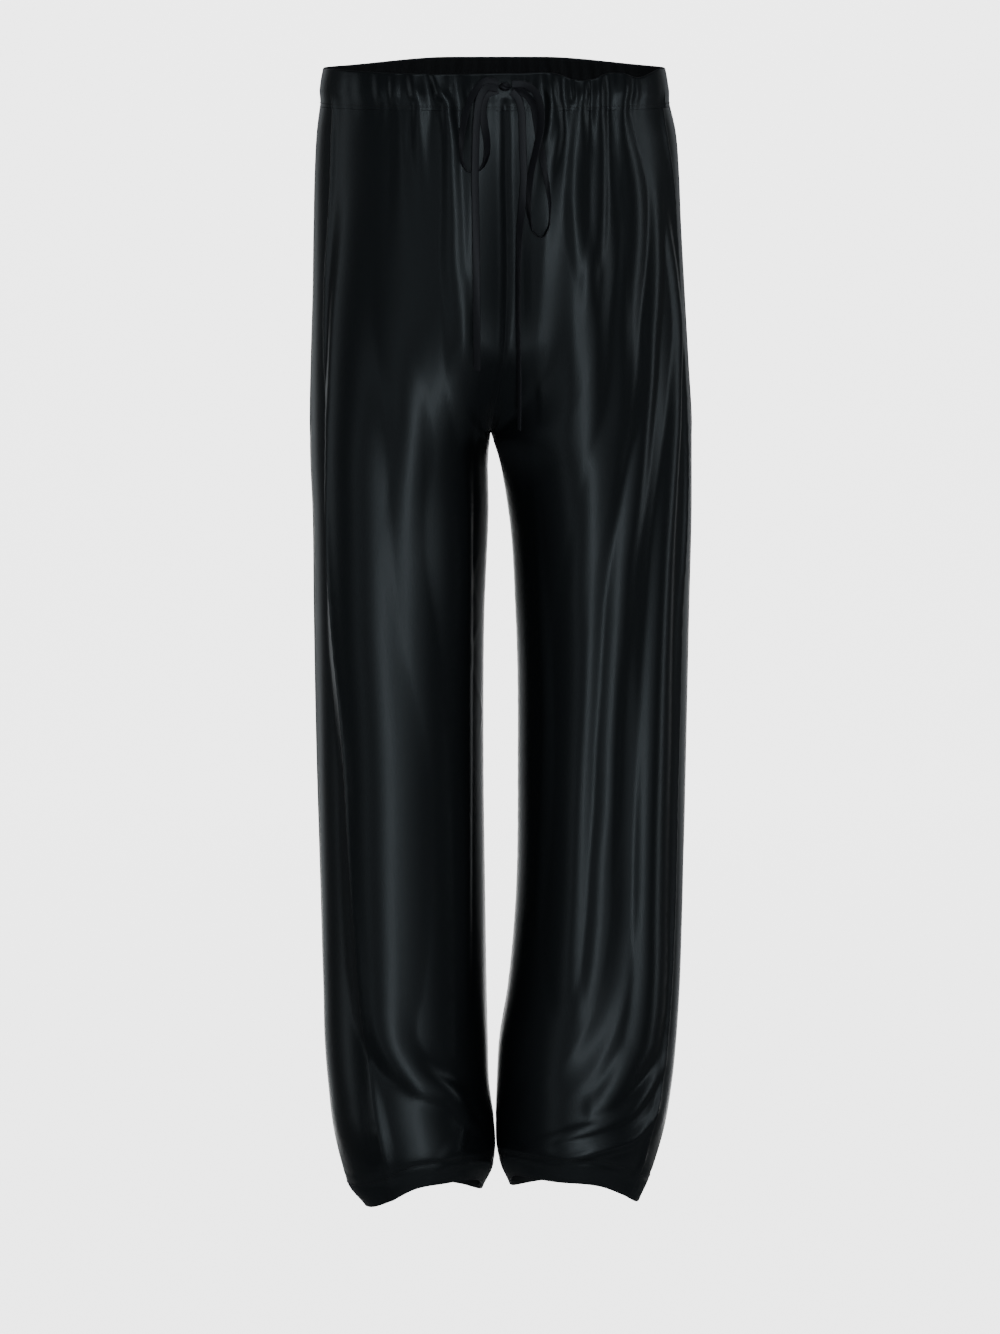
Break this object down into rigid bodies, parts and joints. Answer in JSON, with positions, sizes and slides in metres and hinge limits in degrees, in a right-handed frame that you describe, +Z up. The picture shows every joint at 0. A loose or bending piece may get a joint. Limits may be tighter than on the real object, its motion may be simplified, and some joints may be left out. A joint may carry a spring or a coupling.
{
  "type": "drawstring trousers",
  "caption": "Wide-leg satin trousers in their worn, hollow form, with a gathered casing at the waist and a flat drawstring tied in a bow.",
  "frame": {"origin": "middle of the waist hollow, half way down the casing", "axes": "+Z up, -Y towards the front with the bow, +X towards the side that shows right from the front"},
  "size_m": [0.3617, 0.2581, 1.1126],
  "materials": {
    "satin": "black satin weave with a soft blue-grey sheen",
    "ribbon": "narrow tube of the same black satin, pressed flat"
  },
  "bodies": {
    "root": {"front_left": "satin", "front_right": "satin", "back_left": "satin", "back_right": "satin", "casing_front": "satin", "casing_back": "satin", "bow_knot": "ribbon", "bow_loop_left": "ribbon", "bow_loop_right": "ribbon", "drawstring_tail_left": "ribbon", "drawstring_tail_right": "ribbon"}
  },
  "joints": []
}
